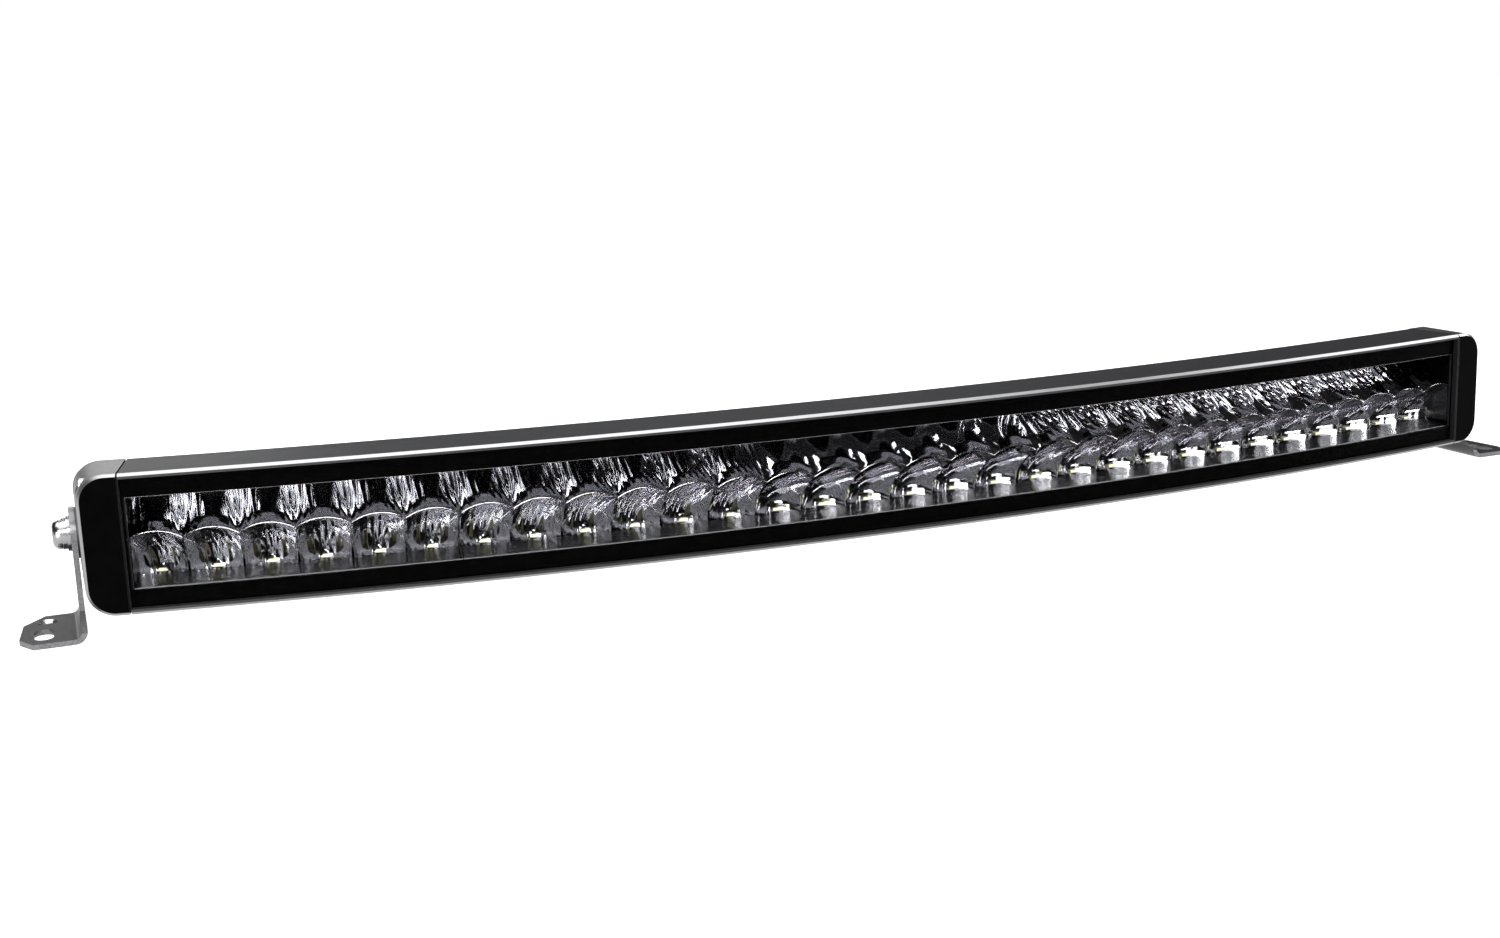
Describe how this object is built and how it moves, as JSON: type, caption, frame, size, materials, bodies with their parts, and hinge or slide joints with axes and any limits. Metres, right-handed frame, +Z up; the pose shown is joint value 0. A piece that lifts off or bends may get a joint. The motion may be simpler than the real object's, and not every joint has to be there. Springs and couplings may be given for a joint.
{
  "type": "led light bar",
  "caption": "Curved single-row LED light bar: finned aluminium housing, clear lens over domed reflectors, and a tilting L bracket on a pivot bolt at each end.",
  "frame": {"origin": "centre of the footprint, on the plane of the bracket feet", "axes": "+X along the bar, -Y the way the light shines, +Z up"},
  "size_m": [0.8552, 0.096, 0.078],
  "materials": {
    "housing_black": "satin anodised black",
    "cap_black": "gloss black lacquer",
    "bracket_black": "satin black powder coat",
    "bolt_steel": "polished",
    "steel_screw": "satin",
    "brass_insert": "satin",
    "nylon_pad": "matte",
    "silicone": "matte",
    "clear_lens": "clear polycarbonate, gloss",
    "gloss_black": "gloss",
    "metallised": "vacuum metallised, mirror bright",
    "polished_sheet": "semi-polished",
    "rail_aluminium": "mill finish",
    "board_white": "white solder mask",
    "led_white": "gloss",
    "led_yellow": "gloss",
    "pad_grey": "matte",
    "connector_white": "matte",
    "driver_green": "satin solder mask",
    "component_black": "matte",
    "can_silver": "satin",
    "terminal_green": "matte",
    "lead_insulation": "satin",
    "gland_black": "satin"
  },
  "bodies": {
    "left_bracket": {"left_bracket": "bracket_black"},
    "bar": {"board_links": "connector_white", "board_rail": "rail_aluminium", "breather_vent": "gland_black", "cable_gland_body": "gland_black", "cable_gland_locknut": "gland_black", "cable_gland_nut": "gland_black", "cable_gland_seal": "silicone", "driver_board": "driver_green", "driver_capacitors": "can_silver", "driver_chips": "component_black", "driver_chokes": "component_black", "driver_pad": "pad_grey", "driver_screws": "steel_screw", "end_cap_screws": "steel_screw", "feed_leads": "lead_insulation", "front_lens": "clear_lens", "housing": "housing_black", "led_board_1": "board_white", "led_board_2": "board_white", "led_board_3": "board_white", "led_board_4": "board_white", "led_board_5": "board_white", "led_bodies": "led_white", "led_phosphors": "led_yellow", "left_end_cap": "cap_black", "left_end_gasket": "silicone", "left_end_plate": "gloss_black", "left_pivot_bolt": "bolt_steel", "left_pivot_pad": "nylon_pad", "left_plain_washer": "bolt_steel", "left_spring_washer": "bolt_steel", "left_thread_insert": "brass_insert", "lens_mask": "gloss_black", "lens_seal": "silicone", "module_screws": "steel_screw", "power_leads": "lead_insulation", "rail_screws": "steel_screw", "reflector_1": "metallised", "reflector_2": "metallised", "reflector_3": "metallised", "reflector_4": "metallised", "reflector_5": "metallised", "right_end_cap": "cap_black", "right_end_gasket": "silicone", "right_end_plate": "gloss_black", "right_pivot_bolt": "bolt_steel", "right_pivot_pad": "nylon_pad", "right_plain_washer": "bolt_steel", "right_spring_washer": "bolt_steel", "right_thread_insert": "brass_insert", "shelf_1": "polished_sheet", "shelf_2": "polished_sheet", "shelf_3": "polished_sheet", "shelf_4": "polished_sheet", "shelf_5": "polished_sheet", "terminal_block": "terminal_green", "thermal_pads": "pad_grey"},
    "right_bracket": {"right_bracket": "bracket_black"}
  },
  "joints": [
    {"name": "bar_tilt", "type": "hinge", "parent": "left_bracket", "child": "bar", "pos_m": [0, 0.02, 0.046], "axis": [-1, 0, 0], "range_deg": [-9, 45]},
    {"name": "right_bracket_tilt", "type": "hinge", "parent": "bar", "child": "right_bracket", "pos_m": [0, 0.02, 0.046], "axis": [-1, 0, 0], "range_deg": [-45, 9]}
  ],
  "couplings": [
    {"joint": "right_bracket_tilt", "follows": "bar_tilt", "ratio": -1}
  ]
}
